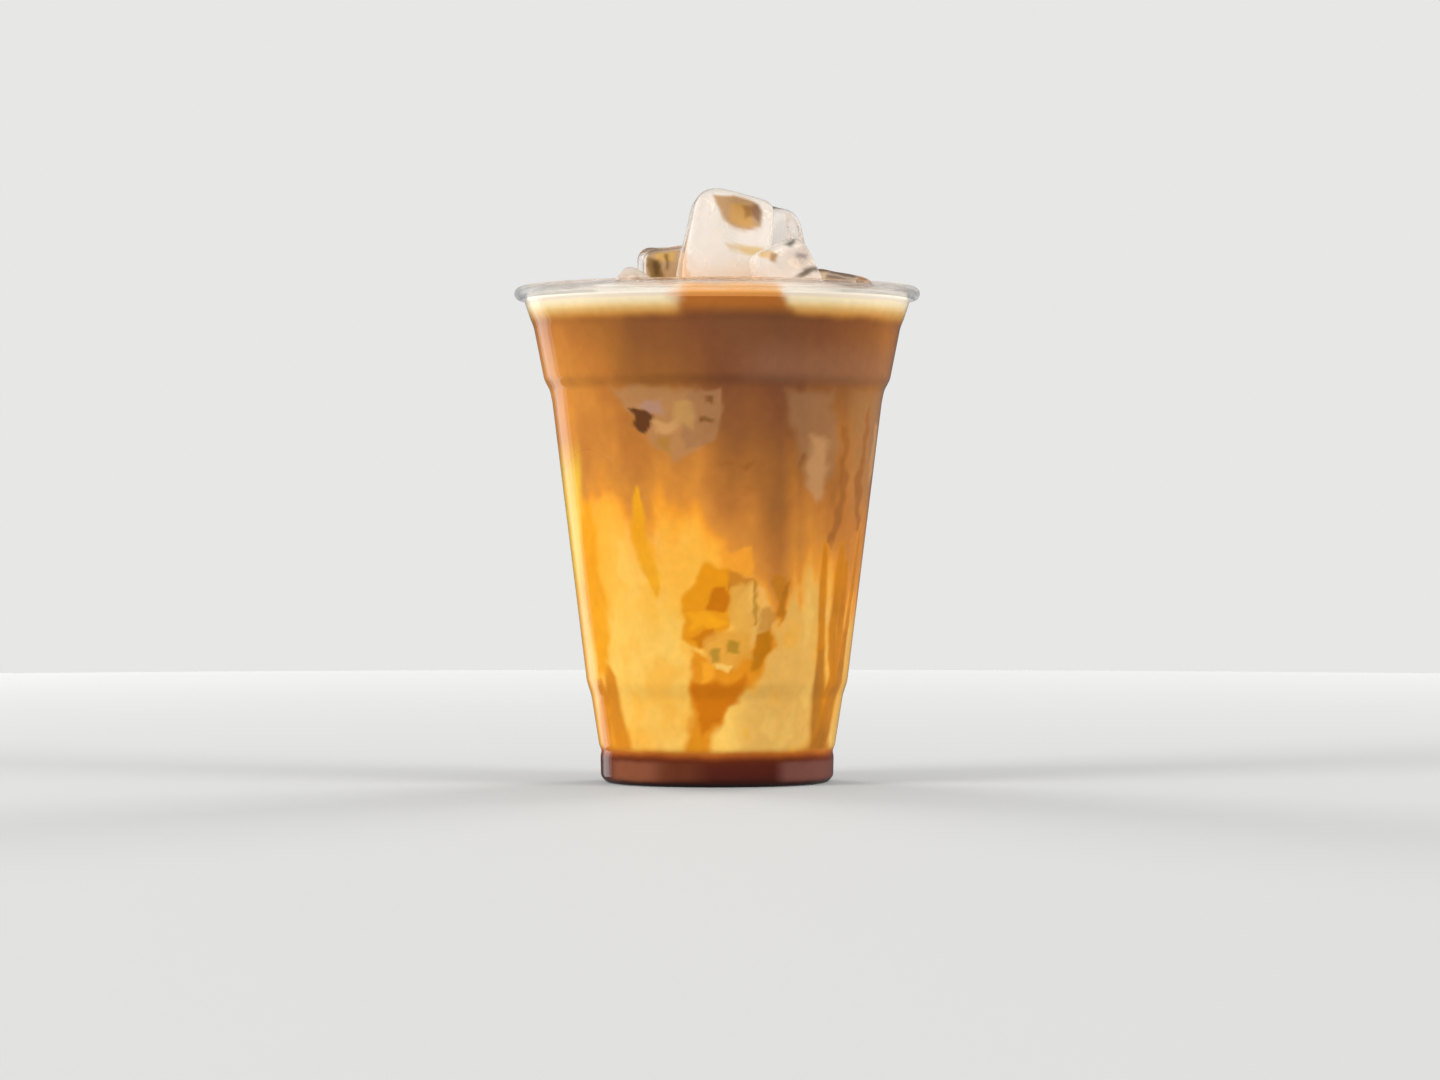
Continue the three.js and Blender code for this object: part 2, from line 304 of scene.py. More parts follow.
lathe, given = new_tree(
    "lathe", {"Sides": "NodeSocketInt", "Material": "NodeSocketMaterial"},
)
rows = add(lathe, "GeometryNodeAttributeDomainSize", {"Geometry": given["Geometry"]}).outputs["Point Count"]
columns = maths(lathe, "ADD", given["Sides"], 1)
grid = add(lathe, "GeometryNodeMeshGrid", {"Vertices X": columns, "Vertices Y": rows})
index = add(lathe, "GeometryNodeInputIndex").outputs["Index"]
row = maths(lathe, "MODULO", index, rows)
column = maths(lathe, "FLOOR", maths(lathe, "DIVIDE", maths(lathe, "ADD", index, 0.5), rows))
profile_point = add(
    lathe, "GeometryNodeSampleIndex",
    {"Geometry": given["Geometry"], "Value": add(lathe, "GeometryNodeInputPosition").outputs[0]},
    data_type="FLOAT_VECTOR",
)
lathe.links.new(row, profile_point.inputs["Index"])
place = add(lathe, "ShaderNodeSeparateXYZ", {0: profile_point.outputs["Value"]}).outputs
turn = maths(lathe, "DIVIDE", maths(lathe, "MULTIPLY", column, math.tau), given["Sides"])
point = add(lathe, "ShaderNodeCombineXYZ", {
    "X": maths(lathe, "MULTIPLY", place["X"], maths(lathe, "COSINE", turn)),
    "Y": maths(lathe, "MULTIPLY", place["X"], maths(lathe, "SINE", turn)),
    "Z": place["Z"],
})
moved = add(
    lathe, "GeometryNodeSetPosition",
    {"Geometry": grid.outputs["Mesh"], "Position": point.outputs["Vector"]},
)
welded = add(
    lathe, "GeometryNodeMergeByDistance", {"Geometry": moved.outputs["Geometry"], "Distance": 0.001 * MM},
)
smooth = add(lathe, "GeometryNodeSetShadeSmooth", {"Geometry": welded.outputs["Geometry"]})
end_tree(lathe, smooth.outputs["Geometry"], given["Material"])
print("lathe nodes:", len(lathe.nodes))

# %% [markdown]
# ## From a tree to a plain mesh
# The finished piece is a plain mesh: the modifier's inputs are set by each socket's identifier, the
# result is copied off, and the modifier goes. Faces of a turned shape can end up inside out, so their
# normals are worked out again on the merged mesh.

# %% Making pieces
SHARP_ANGLE = 50


def new_object(name, mesh, material=None):
    """A mesh as an object in the scene, at the origin, smooth, with its one material."""
    piece = bpy.data.objects.new(name, mesh)
    bpy.context.scene.collection.objects.link(piece)
    if material:
        mesh.materials.clear()
        mesh.materials.append(material)
    mesh.shade_smooth()
    mesh.set_sharp_from_angle(angle=math.radians(SHARP_ANGLE))
    return piece


def outwards(mesh):
    """Turns the faces of a closed mesh to point out."""
    shape = bmesh.new()
    shape.from_mesh(mesh)
    bmesh.ops.recalc_face_normals(shape, faces=shape.faces)
    shape.to_mesh(mesh)
    shape.free()


def grown(name, base, tree, values, material):
    """The plain mesh that a geometry tree makes from a base mesh."""
    seed = new_object(name + " base", base)
    modifier = seed.modifiers.new(tree.name, "NODES")
    modifier.node_group = tree
    sockets = {item.name: item.identifier for item in tree.interface.items_tree if item.in_out == "INPUT"}
    for label, value in values.items():
        modifier[sockets[label]] = value
    modifier[sockets["Material"]] = material
    graph = bpy.context.evaluated_depsgraph_get()
    mesh = bpy.data.meshes.new_from_object(seed.evaluated_get(graph))
    mesh.name = name
    bpy.data.objects.remove(seed)
    return new_object(name, mesh, material)


def polyline(name, points):
    """A line of vertices from (radius, height) in mm, in the plane y = 0."""
    mesh = bpy.data.meshes.new(name)
    places = [(radius * MM, 0, height * MM) for radius, height in points]
    mesh.from_pydata(places, [(i, i + 1) for i in range(len(places) - 1)], [])
    return mesh


print("helpers ready")

# %% [markdown]
# ## Clear plastic
# The cup is PET sheet, drawn warm over a mould: water clear, with an index of refraction of 1.575 and a
# surface as smooth as the mould. A lamp can't find its way through a refracting wall by direct rays, so
# shadow rays pass the wall as if it weren't there, which lights the drink cleanly. The rolled rim bends
# light twice in a few millimetres and would come out as a grey tube, where a real one nearly vanishes
# against a pale wall. So above a set height part of every ray goes straight through.

# %% Thermoformed PET
ROLL_START = 116
ROLL_BLEND = 0.6
ROLL_THIN = 0.62


def see_through(tree, shader, output, tint="FFFFFF", thin=0.0):
    """Lets light for shadows pass a clear shader untouched but for a tint, and part of every ray if thin."""
    shadow = add(tree, "ShaderNodeLightPath").outputs["Is Shadow Ray"]
    passed = maths(tree, "MAXIMUM", shadow, thin)
    passing = add(tree, "ShaderNodeBsdfTransparent", {"Color": linear(tint)})
    mixed = add(tree, "ShaderNodeMixShader", {0: passed, 1: shader, 2: passing.outputs["BSDF"]})
    tree.links.new(mixed.outputs["Shader"], output.inputs["Surface"])


pet, tree, output = new_material("thermoformed clear PET")
shader = add(tree, "ShaderNodeBsdfPrincipled", {
    "Base Color": linear("FCFDFC"), "Transmission Weight": 1.0, "IOR": 1.575, "Roughness": 0.06,
})
spot = add(tree, "ShaderNodeNewGeometry").outputs["Position"]
up = add(tree, "ShaderNodeSeparateXYZ", {0: spot}).outputs["Z"]
rolled = add(tree, "ShaderNodeMapRange", {
    "Value": up, "From Min": ROLL_START * MM, "From Max": (ROLL_START + ROLL_BLEND) * MM,
    "To Max": ROLL_THIN,
})
see_through(tree, shader.outputs["BSDF"], output, thin=rolled.outputs["Result"])
print("made", pet.name)

# %% The cup
CUP_SIDES = 192
cup = grown("clear_cup", polyline("cup profile", cup_profile), lathe, {"Sides": CUP_SIDES}, pet)
outwards(cup.data)
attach(cup, "root")
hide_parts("cup")
print("cup faces:", len(cup.data.polygons))

# %% [markdown]
# ## Ice cubes
# A cube from a machine is a box with well rounded edges. Melting makes it uneven, and often leaves a
# bowl in one face. Each cube here is a fine grid on a box, rounded by a high power, which is the same
# rule, with the same numbers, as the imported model's. A little slow noise makes the faces less perfect.

# %% The heap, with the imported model's sizes in mm and turns in degrees
ICE_SQUARENESS = 5
ICE_TAPER = 0.05
ICE_WAVE = 0.02
BOWL_RADIUS = 0.85
HEAP = {
    "ice_peak": dict(centre=(2.2, -2, 129), size=(20.5, 22, 26), turn=(-5, 10, 6),
                     seed=1, bowl=(0.4, -1, 0.45), depth=2.4, frost=0.75),
    "ice_left": dict(centre=(-10.8, 15.4, 121.6), size=(15.5, 15, 18), turn=(6, -6, 12),
                     seed=2, bowl=(0, 0, 1), depth=1.4, frost=0.1),
    "ice_chip": dict(centre=(-19.5, -9, 113.6), size=(15, 15, 15), turn=(32, 28, 12),
                     seed=3, bowl=(-1, 0, 0), depth=1, frost=0.6),
    "ice_front_right": dict(centre=(16.6, -20, 120.9), size=(14, 13, 16.5), turn=(4, -26, 10),
                            seed=4, bowl=(0, -1, 0.2), depth=1, frost=0.5),
    "ice_right": dict(centre=(27.4, -2.8, 112.8), size=(18, 19, 20), turn=(-4, 11, 4),
                      seed=5, bowl=(0, 0, 1), depth=1.4, frost=0.1),
    "ice_back_high": dict(centre=(9.6, 23.4, 128), size=(21, 21, 25), turn=(8, -8, 20),
                          seed=6, bowl=(0.2, 1, 0.2), depth=2, frost=0.1),
    "ice_back_left": dict(centre=(-28.6, 11, 110), size=(17, 18, 18), turn=(5, -6, -20),
                          seed=7, bowl=(0, 0, 1), depth=1.4, frost=0.2),
    "ice_back": dict(centre=(-13, 31, 109.8), size=(17, 12, 17), turn=(-5, 4, 20),
                     seed=8, bowl=(0, 0, 1), depth=1.2, frost=0.3),
    "ice_back_right": dict(centre=(28.4, 16.4, 110), size=(15, 15, 18), turn=(4, 6, 29),
                           seed=9, bowl=(0, 0, 1), depth=1.2, frost=0.15),
}


def box_grid(steps):
    """A cube from -1 to 1 whose faces are grids, as a bmesh with merged corners."""
    shape = bmesh.new()
    bmesh.ops.create_cube(shape, size=2)
    bmesh.ops.subdivide_edges(shape, edges=shape.edges, cuts=steps - 1, use_grid_fill=True)
    return shape


def fractal(points, scale, seed=0, octaves=3, stretch=(1, 1, 1)):
    """Fractal noise, about -1 to 1, at points in mm. scale is the size of its largest lumps in mm."""
    moved = points / (scale * np.array(stretch)) + seed * 17.3
    return np.array([noise.fractal(Vector(p), 1.0, 2.0, octaves) for p in moved.tolist()])


def cube_mesh(name, cube, steps, shrink=0.0, uneven=0.0):
    """One ice cube in its place in the heap, shrunk by some mm all round."""
    shape = box_grid(steps)
    grid = np.array([vertex.co[:] for vertex in shape.verts])
    spread = np.sin(grid * math.pi / 2)
    bowl = np.array(cube["bowl"], float)
    away = np.linalg.norm(spread - bowl, axis=1) / BOWL_RADIUS
    in_bowl = np.clip(1 - away ** 2, 0, None) ** 2
    power = (np.abs(spread) ** ICE_SQUARENESS).sum(axis=1) ** (1 / ICE_SQUARENESS)
    unit = spread / power[:, None]
    x, y, z = unit.T
    wave = np.sin(3 * x + 2 * y + cube["seed"]) * np.cos(3 * z - cube["seed"])
    places = unit * (np.array(cube["size"]) / 2 - shrink) * (1 + ICE_WAVE * wave)[:, None]
    places[:, :2] *= (1 + ICE_TAPER * z * math.cos(2.4 * cube["seed"]))[:, None]
    places -= bowl * (in_bowl * cube["depth"])[:, None]
    if uneven:
        bump = fractal(places, 6, seed=cube["seed"]) * uneven
        places += unit / np.linalg.norm(unit, axis=1)[:, None] * bump[:, None]
    turn = Euler([math.radians(angle) for angle in cube["turn"]]).to_matrix()
    places = places @ np.array(turn).T + np.array(cube["centre"])
    for vertex, place in zip(shape.verts, places):
        vertex.co = place * MM
    mesh = bpy.data.meshes.new(name)
    shape.to_mesh(mesh)
    shape.free()
    return mesh


print("cubes:", len(HEAP))

# %% [markdown]
# ## Painting tools
# Ice and drink both change colour from place to place in ways that follow no simple pattern. A shader would
# need a long chain of nodes for that, so the colours are worked out point by point, laid over one another
# as with paint, and kept on the mesh. A few tools do it: blend a row of colours, lay one colour over
# another, and mark what lies inside an outline or along a line.

# %% Tools for painting

def ease(low, high, values):
    """0 below low, 1 above high, and a smooth step between."""
    t = np.clip((values - low) / (high - low), 0, 1)
    return t * t * (3 - 2 * t)


def places_of(mesh):
    """The vertices of a mesh in mm, one row each."""
    flat = np.empty(len(mesh.vertices) * 3)
    mesh.vertices.foreach_get("co", flat)
    return flat.reshape(-1, 3) / MM


def keep_number(mesh, name, values):
    """Keeps one number for each vertex."""
    attribute = mesh.attributes.new(name, "FLOAT", "POINT")
    attribute.data.foreach_set("value", np.asarray(values, dtype=np.float32))


def shade(stops, values):
    """Linear colours for values, blended between stops given as (value, hex)."""
    places = [place for place, code in stops]
    channels = np.array([linear(code)[:3] for place, code in stops]).T
    return np.stack([np.interp(values, places, channel) for channel in channels], axis=1)


def lay(colours, share, paint_on):
    """Lays a hex colour, or one colour for each point, over the colours by a share from 0 to 1."""
    if isinstance(paint_on, str):
        paint_on = np.array(linear(paint_on)[:3])
    colours += (paint_on - colours) * share[:, None]


def in_outline(across, height, corners, soft):
    """1 inside a closed outline and 0 outside it, with an edge that is soft for some mm on each side."""
    away = np.full(len(across), 99.0)
    inside = np.zeros(len(across), bool)
    for (x1, y1), (x2, y2) in zip(corners, corners[1:] + corners[:1]):
        run, rise = x2 - x1, y2 - y1
        t = np.clip(((across - x1) * run + (height - y1) * rise) / (run ** 2 + rise ** 2), 0, 1)
        away = np.minimum(away, np.hypot(across - x1 - t * run, height - y1 - t * rise))
        level_with = (y1 > height) != (y2 > height)
        inside ^= level_with & (across < x1 + run * (height - y1) / (rise or 1))
    return 1 - ease(-soft, soft, np.where(inside, -away, away))


def on_line(across, height, line):
    """1 on a line down the wall and 0 beside it. The line is (height, across, half width) in mm."""
    heights, middles, widths = np.array(line, float)[::-1].T
    width = np.interp(height, heights, widths)
    away = np.abs(across - np.interp(height, heights, middles))
    share = 1 - ease(0.6, 1.5, away / width)
    return share * ease(heights[0] - 1, heights[0] + 1, height) * (1 - ease(-1, 1, height - heights[-1]))


def keep_colours(mesh, colours):
    """Keeps one linear colour for each vertex."""
    attribute = mesh.color_attributes.new("paint", "FLOAT_COLOR", "POINT")
    rows = np.ones((len(colours), 4), dtype=np.float32)
    rows[:, :3] = np.clip(colours, 0, 1)
    attribute.data.foreach_set("color", rows.ravel())


print("gold at 0, brown at 1:", shade([(0, "FDCD6A"), (1, "744527")], np.array([0.0, 1.0])).round(2).tolist())

# %% [markdown]
# ## Ice
# Ice bends light a little less than water does, with an index of 1.31. Where air was trapped it is cloudy
# white, and where coffee ran over it, it is stained gold and brown. The peak of the heap is mostly cloudy,
# with one clear corner through which the coffee behind shows brown. The dark grey and olive marks on the
# two cubes to the right are painted shade: the dark edges that clear ice shows where it bends light. Each
# mark is a colour, how much it covers, how cloudy the ice is there, and an outline as a viewer straight
# ahead sees it, in mm across and up. Marks lie on the front of a cube alone.

# %% Machine ice, part clear and part cloudy
ice, tree, output = new_material("machine ice, wet")
ice_colour = add(tree, "ShaderNodeVertexColor", layer_name="paint").outputs["Color"]
frost = add(tree, "ShaderNodeAttribute", attribute_name="frost").outputs["Fac"]
roughness = add(tree, "ShaderNodeMapRange", {"Value": frost, "To Min": 0.03, "To Max": 0.32})
shader = add(tree, "ShaderNodeBsdfPrincipled", {
    "Base Color": ice_colour,
    "Transmission Weight": maths(tree, "SUBTRACT", 1.0, frost),
    "Roughness": roughness.outputs["Result"],
    "IOR": 1.31,
})
see_through(tree, shader.outputs["BSDF"], output, tint="F6F1EC")
print("made", ice.name)

# %% Each cube of the heap
DRINK_LEVEL = 114.6
CUBE_STEPS = 44
CUBE_UNEVEN = 0.2
WET_TOP = 5
CLOUDY_WHITE = "AFA89F"
CLEAR_WHITE = "E2DCD6"
STAINS = {"ice_front_right": 0.35, "ice_back_high": 0.3, "ice_chip": 0.45}
ICE_MARKS = {
    "ice_peak": [
        ("D0A67A", 0.75, 0.45, [(-14.0, 131.0), (-7.4, 131.0), (-6.6, 118.0), (-14.0, 118.0)]),
        ("A87E4C", 0.90, 0.40, [(-1.1, 141.2), (3.6, 141.2), (7.6, 140.2), (9.8, 138.9), (10.6, 136.0),
                                (10.4, 133.4), (6.6, 132.5), (3.2, 133.9), (1.4, 136.1), (0.4, 138.4)]),
        ("BD8A40", 0.85, 0.40, [(3.0, 139.2), (6.6, 139.0), (8.2, 136.4), (8.8, 133.8), (6.4, 133.2),
                                (3.6, 135.0)]),
        ("7A5022", 0.85, 0.50, [(6.0, 138.6), (9.6, 138.6), (9.6, 136.4), (6.8, 135.4)]),
        ("6F5140", 0.85, 0.50, [(8.4, 139.4), (10.2, 138.8), (10.8, 135.6), (10.4, 134.0), (8.8, 136.0)]),
        ("B9A37C", 0.80, 0.55, [(2.0, 129.6), (5.6, 129.3), (6.4, 127.4), (3.0, 128.2)]),
        ("BC9C58", 0.85, 0.55, [(5.6, 129.0), (9.4, 128.6), (12.6, 127.8), (12.6, 126.2), (8.0, 126.6),
                                (6.0, 127.6)]),
    ],
    "ice_left": [
        ("8C6632", 0.90, 0.75, [(-17.2, 128.2), (-9.0, 129.4), (-9.0, 120.0), (-17.6, 120.0)]),
        ("A98544", 0.90, 0.75, [(-15.2, 128.2), (-10.0, 128.6), (-10.4, 126.4), (-15.0, 126.2)]),
        ("62461C", 0.90, 0.75, [(-17.0, 127.4), (-14.2, 126.6), (-12.6, 122.4), (-16.2, 121.6)]),
        ("452C0E", 0.90, 0.75, [(-15.8, 126.4), (-14.4, 126.2), (-14.0, 123.0), (-15.2, 123.0)]),
        ("5A3C16", 0.90, 0.75, [(-12.8, 128.0), (-11.8, 128.0), (-11.8, 124.4), (-12.6, 124.4)]),
        ("5E4524", 0.90, 0.75, [(-18.0, 128.8), (-9.4, 130.4), (-9.4, 129.4), (-17.6, 127.8)]),
    ],
    "ice_chip": [("6A4428", 0.80, 0.60, [(-19.6, 123.4), (-17.6, 122.8), (-17.4, 120.4), (-19.2, 120.6)])],
    "ice_front_right": [
        ("C2A16E", 0.85, 0.65, [(8.6, 127.6), (12.4, 127.2), (14.0, 125.8), (13.4, 124.6), (10.6, 125.6)]),
        ("8A6C4A", 0.85, 0.60, [(12.6, 126.8), (14.0, 126.2), (13.6, 124.2), (12.6, 124.6)]),
        # Painted shade: the three dark grey marks below stand for the dark edges of clear ice.
        ("343C34", 0.85, 0.55, [(15.8, 128.6), (18.4, 129.8), (18.6, 128.8), (17.4, 127.8)]),
        ("5F585E", 0.80, 0.55, [(18.6, 126.2), (21.2, 125.8), (20.8, 124.6), (18.8, 124.8)]),
        ("2E2814", 0.90, 0.65, [(18.2, 120.6), (20.6, 122.6), (23.0, 123.5), (26.5, 123.0), (26.5, 121.9),
                                (22.8, 122.3), (20.4, 120.8)]),
    ],
    "ice_right": [
        # Painted shade: the two dark olive marks on this cube stand for the dark edges of clear ice.
        ("4A3C20", 0.95, 0.75, [(18.6, 121.8), (22.8, 123.9), (27.0, 123.4), (27.0, 122.5), (22.8, 122.6)]),
        ("A8966C", 0.85, 0.65, [(20.6, 122.6), (26.0, 122.6), (26.0, 120.8), (20.6, 120.8)]),
        ("55483A", 0.95, 0.75, [(27.0, 123.3), (31.0, 122.8), (34.0, 121.6), (33.0, 120.8), (27.0, 122.2)]),
    ],
}


def ice_look(name, cube, points):
    """Colour and cloudiness of a cube at each of its points."""
    x, y, z = points.T
    lumps = fractal(points, 9, seed=cube["seed"] + 3)
    grain = fractal(points, 2.2, seed=cube["seed"] + 6, octaves=2)
    cloudy = np.clip(cube["frost"] + 0.45 * lumps + 0.1 * grain, 0.04, 0.92)
    colours = shade([(0, CLEAR_WHITE), (1, CLOUDY_WHITE)], cloudy)
    crack = 1 - ease(0.0, 0.05, np.abs(fractal(points, 7, seed=cube["seed"] + 9, octaves=2)))
    lay(colours, 0.3 * crack, "B9A27E")
    cloudy = cloudy + 0.3 * crack
    wet = 1 - ease(DRINK_LEVEL + 1.5, DRINK_LEVEL + WET_TOP, z + 2 * lumps)
    high = 1 - ease(DRINK_LEVEL + WET_TOP, DRINK_LEVEL + 2.6 * WET_TOP, z + 3 * lumps)
    stain = STAINS.get(name, 1)
    lay(colours, 0.35 * stain * high, "C9A880")
    lay(colours, 0.8 * (0.4 + 0.6 * stain) * wet, "AA7C48")
    cloudy = cloudy + (0.6 - cloudy) * wet
    front = ease(2, 5, cube["centre"][1] - y)
    for code, cover, clouds, corners in ICE_MARKS.get(name, []):
        share = in_outline(x + 0.5 * grain, z + 0.5 * lumps, corners, soft=0.55) * front
        lay(colours, cover * share, code)
        cloudy = cloudy + (clouds - cloudy) * share
    return colours, np.clip(cloudy, 0, 1)


for name, cube in HEAP.items():
    mesh = cube_mesh(name + "_wet", cube, CUBE_STEPS, uneven=CUBE_UNEVEN)
    colours, cloudy = ice_look(name, cube, places_of(mesh))
    keep_colours(mesh, colours)
    keep_number(mesh, "frost", cloudy)
    piece = new_object(name + "_wet", mesh, ice)
    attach(piece, "root")
    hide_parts(name)
print("faces of one cube:", len(mesh.polygons))

# %% [markdown]
# ## The drink's layers
# Milk was poured on syrup and coffee on milk, and none of them is level where they meet: coffee sinks
# further on the right than on the left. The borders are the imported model's two height rules. Each layer
# is built from columns round the axis: along its floor to the wall, up the wall, and back over its top.
# The wall of each layer reaches just into the cup's wall, because a film of air between them would
# mirror light that real, wet plastic lets through.

# %% Borders between the layers, in mm
MILK_MIDDLE_HEIGHT = 57
MILK_SLANT = 0.62
MILK_WAVE = 4.5
MILK_SWELL = 2.5
BODY_HEAD_RADIUS = 39.8
CARAMEL_HEIGHT = 6.8
CARAMEL_HUMP = 3
CARAMEL_HUMP_WIDTH = 0.28
CARAMEL_RUNS = (95, 204, 262, 330)
LOWER_CONE_RADIUS = 28.5


def milk_top(x, y):
    """Height of the border between milk and coffee."""
    wave = MILK_WAVE * np.hypot(x, y) / BODY_HEAD_RADIUS * np.sin(5 * np.arctan2(y, x) + 0.8)
    return MILK_MIDDLE_HEIGHT - MILK_SLANT * x + wave + MILK_SWELL * np.cos(x / 9 + y / 14)


def caramel_top(x, y):
    """Height of the border between caramel and milk."""
    reach = np.minimum(np.hypot(x, y) / LOWER_CONE_RADIUS, 1)
    height = np.full_like(reach, CARAMEL_HEIGHT)
    for run in np.radians(CARAMEL_RUNS):
        angle = np.arctan2(y, x) - run
        away = np.arctan2(np.sin(angle), np.cos(angle))
        height = height + CARAMEL_HUMP * np.exp(-(away / CARAMEL_HUMP_WIDTH) ** 2) * reach ** 3
    return height


SINK = 0.35
FLOOR_END = 27.2
drink_line = moved_inwards(outside, SINK)
foot_end = int(np.argmax(drink_line[:, 0] > FLOOR_END))
floor_line = drink_line[:foot_end + 1]
wall_line = drink_line[foot_end:]


def wall_radius(height):
    """Radius of the drink at the wall, at a height in mm."""
    return np.interp(height, wall_line[:, 1], wall_line[:, 0])


COLUMNS = 384
ANGLES = np.arange(COLUMNS) * math.tau / COLUMNS
FIRST_GUESS = 50.0
ROUNDS = 30


def edge_height(border):
    """Where a border meets the wall, for each column."""
    height = np.full(COLUMNS, FIRST_GUESS)
    for _ in range(ROUNDS):
        radius = wall_radius(height)
        height = 0.5 * height + 0.5 * border(radius * np.cos(ANGLES), radius * np.sin(ANGLES))
    return height


def ring(radius, height):
    """One row of points, a radius and a height for each column."""
    radius = np.broadcast_to(radius, COLUMNS)
    height = np.broadcast_to(height, COLUMNS)
    return np.stack([radius * np.cos(ANGLES), radius * np.sin(ANGLES), height], axis=1)


def border_rows(border, edge, count):
    """Rows over a border from near the axis out to the wall."""
    rows = []
    for share in np.linspace(0, 1, count + 1)[1:]:
        radius = wall_radius(edge) * share
        rows.append(ring(radius, border(radius * np.cos(ANGLES), radius * np.sin(ANGLES))))
    rows[-1] = ring(wall_radius(edge), edge)
    return rows


def wall_rows(low, high, count):
    """Rows up the wall, between two edges and without them."""
    rows = []
    for share in np.linspace(0, 1, count + 1)[1:-1]:
        height = low + (high - low) * share
        rows.append(ring(wall_radius(height), height))
    return rows


def column_mesh(name, rows, bottom, top):
    """A closed mesh from rows of points, with a pole at each end."""
    count = len(rows)
    points = np.vstack([[bottom], *rows, [top]]) * MM
    at = 1 + np.arange(count * COLUMNS).reshape(count, COLUMNS)
    after = np.roll(at, -1, axis=1)
    quads = np.stack([at[:-1], after[:-1], after[1:], at[1:]], axis=-1).reshape(-1, 4)
    pole = len(points) - 1
    fans = [(0, b, a) for a, b in zip(at[0].tolist(), after[0].tolist())]
    fans += [(pole, a, b) for a, b in zip(at[-1].tolist(), after[-1].tolist())]
    mesh = bpy.data.meshes.new(name)
    mesh.from_pydata(points.tolist(), [], quads.tolist() + fans)
    return mesh


caramel_edge = edge_height(caramel_top)
milk_edge = edge_height(milk_top)
print("caramel edge, mm:", caramel_edge.min().round(1), "to", caramel_edge.max().round(1))
print("milk edge, mm:", milk_edge.min().round(1), "to", milk_edge.max().round(1))

# %% The three layers as meshes
BORDER_ROWS = 14
CARAMEL_ROWS = 16
MILK_ROWS = 110
COFFEE_ROWS = 130
TOP_ROWS = 60
MENISCUS_RISE = 0.5
MENISCUS_WIDTH = 1.2

floor_rows = [ring(radius, height) for radius, height in floor_line[1:]]
caramel_border = border_rows(caramel_top, caramel_edge, BORDER_ROWS)
milk_border = border_rows(milk_top, milk_edge, BORDER_ROWS)
caramel_middle = (0, 0, float(caramel_top(np.zeros(1), np.zeros(1))[0]))
milk_middle = (0, 0, float(milk_top(np.zeros(1), np.zeros(1))[0]))

caramel_mesh = column_mesh(
    "caramel syrup",
    floor_rows + wall_rows(floor_line[-1][1], caramel_edge, CARAMEL_ROWS) + caramel_border[::-1],
    (0, 0, floor_line[0][1]), caramel_middle,
)
milk_mesh = column_mesh(
    "golden milk",
    caramel_border + wall_rows(caramel_edge, milk_edge, MILK_ROWS) + milk_border[::-1],
    caramel_middle, milk_middle,
)

rim_edge = DRINK_LEVEL + MENISCUS_RISE
rim_radius = float(wall_radius(rim_edge))
surface_rows = []
for radius in np.linspace(rim_radius, 0, TOP_ROWS + 1)[:-1]:
    climb = MENISCUS_RISE * math.exp(-((rim_radius - radius) / MENISCUS_WIDTH) * 2.5)
    surface_rows.append(ring(radius, DRINK_LEVEL + climb))
coffee_mesh = column_mesh(
    "milky coffee",
    milk_border + wall_rows(milk_edge, rim_edge, COFFEE_ROWS) + surface_rows,
    milk_middle, (0, 0, DRINK_LEVEL),
)
print("faces:", len(caramel_mesh.polygons), len(milk_mesh.polygons), len(coffee_mesh.polygons))

# %% [markdown]
# ## Coffee round the ice
# A clear cube shows the drink behind its sunken half, so the coffee is cut out where each cube floats.
# The cut is a hair smaller than the cube: its wall then lies just inside the ice, with no air between.

# %% Cutting the coffee
CUT_SHRINK = 0.12
CUT_STEPS = 14
coffee = new_object("milky_coffee", coffee_mesh)
knives = bmesh.new()
for name, cube in HEAP.items():
    knives.from_mesh(cube_mesh("knife", cube, CUT_STEPS, shrink=CUT_SHRINK))
knife_mesh = bpy.data.meshes.new("knives")
ice_tree = BVHTree.FromBMesh(knives)
knives.to_mesh(knife_mesh)
knives.free()
outwards(coffee_mesh)
outwards(knife_mesh)
knife = new_object("knives", knife_mesh)
cut = coffee.modifiers.new("cut", "BOOLEAN")
cut.operation = "DIFFERENCE"
cut.solver = "MANIFOLD"
cut.object = knife
graph = bpy.context.evaluated_depsgraph_get()
coffee_mesh = bpy.data.meshes.new_from_object(coffee.evaluated_get(graph))
bpy.data.objects.remove(coffee)
bpy.data.objects.remove(knife)
print("coffee faces after the cut:", len(coffee_mesh.polygons))

# %% [markdown]
# ## What shows through the wall
# The wall is a window on the outermost millimetre of the drink. Four things colour it: how far coffee has
# sunk into the milk, caramel that ran down the wall before the milk came, ice that leans on the wall, and
# dark coffee in the gaps beside that ice. They are laid on with the painting tools, as a line or an outline
# each. Places are in mm, across the front and up from the foot, as a viewer straight ahead sees them. The
# photo shows the front third of the wall. The other two thirds repeat it mirrored and moved up or down,
# and the noise, which depends on the place in space, gives them other edges.

